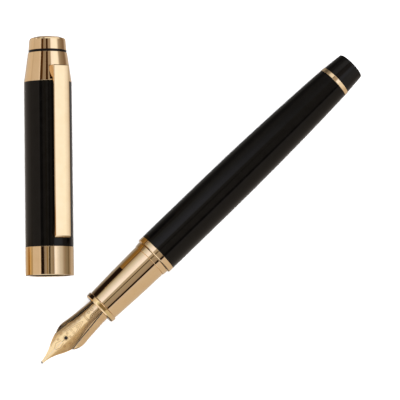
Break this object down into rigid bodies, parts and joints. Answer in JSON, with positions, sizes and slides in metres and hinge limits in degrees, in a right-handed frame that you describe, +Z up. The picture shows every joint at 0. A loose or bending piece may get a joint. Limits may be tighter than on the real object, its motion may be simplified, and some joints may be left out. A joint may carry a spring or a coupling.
{
  "type": "fountain pen",
  "caption": "Cap-off cartridge fountain pen in black lacquer with gold grip, nib, bands and a flat clip; pen and cap lie side by side.",
  "frame": {"origin": "centre of the footprint of pen and cap, on the surface that they lie on", "axes": "+X along the pen from nib to tail, +Z up from the surface, +Y from the pen towards the cap"},
  "size_m": [0.1188, 0.0724, 0.0154],
  "materials": {
    "gold_trim": "polished warm gold plate",
    "nib_gold": "polished gold plate with an engraved border",
    "feed_gold": "plated satin gold",
    "tipping": "ground hard-metal pellet",
    "lacquer": "black gloss lacquer on brass",
    "inlay_black": "gloss",
    "black_resin": "moulded satin",
    "thread_brass": "turned",
    "stud_steel": "turned",
    "cartridge_clear": "moulded, full of blue ink",
    "ball_glass": "polished"
  },
  "bodies": {
    "pen": {"section_lip": "gold_trim", "section_grip": "gold_trim", "snap_ring": "gold_trim", "feed_collar": "black_resin", "section_core": "black_resin", "ink_nipple": "black_resin", "nib": "nib_gold", "nib_tip": "tipping", "feed": "feed_gold"},
    "barrel_front": {"barrel_ring": "gold_trim"},
    "barrel": {"barrel_tube": "lacquer", "barrel_bush": "thread_brass", "tail_ring": "gold_trim", "tail_plug": "lacquer", "tail_stud": "stud_steel"},
    "cartridge": {"cartridge_shell": "cartridge_clear"},
    "ink_ball": {"cartridge_ball": "ball_glass"},
    "cap": {"cap_band": "gold_trim", "cap_tube": "lacquer", "inner_cap": "black_resin", "cap_cone": "gold_trim", "crown_inlay": "inlay_black", "cap_crown": "gold_trim", "cap_stud": "stud_steel"},
    "clip": {"clip": "gold_trim"}
  },
  "joints": [
    {"name": "barrel_pull", "type": "slide", "parent": "pen", "child": "barrel_front", "axis": [-1, 0, 0], "range_m": [-0.075, 0]},
    {"name": "barrel_turn", "type": "hinge", "parent": "barrel_front", "child": "barrel", "pos_m": [-0.01533, -0.03024, 0.006], "axis": [-1, 0, 0], "range_deg": [-2520, 0]},
    {"name": "cartridge_pull", "type": "slide", "parent": "pen", "child": "cartridge", "axis": [-1, 0, 0], "range_m": [-0.006, 0]},
    {"name": "cap_slide", "type": "slide", "parent": "pen", "child": "ink_ball", "axis": [1, 0, 0], "range_m": [0, 0.04485]},
    {"name": "cap_swing", "type": "hinge", "parent": "ink_ball", "child": "cap", "pos_m": [-0.04808, -0.02682, 0.0066], "axis": [0.0373, -0.0865, 0.9955], "range_deg": [0, 133.53]},
    {"name": "clip_flex", "type": "hinge", "parent": "cap", "child": "clip", "pos_m": [-0.00166, 0.02461, 0.01077], "axis": [-0.6592, 0.622, 0.4226], "range_deg": [0, 4], "stiffness_Nm_per_rad": 1}
  ]
}
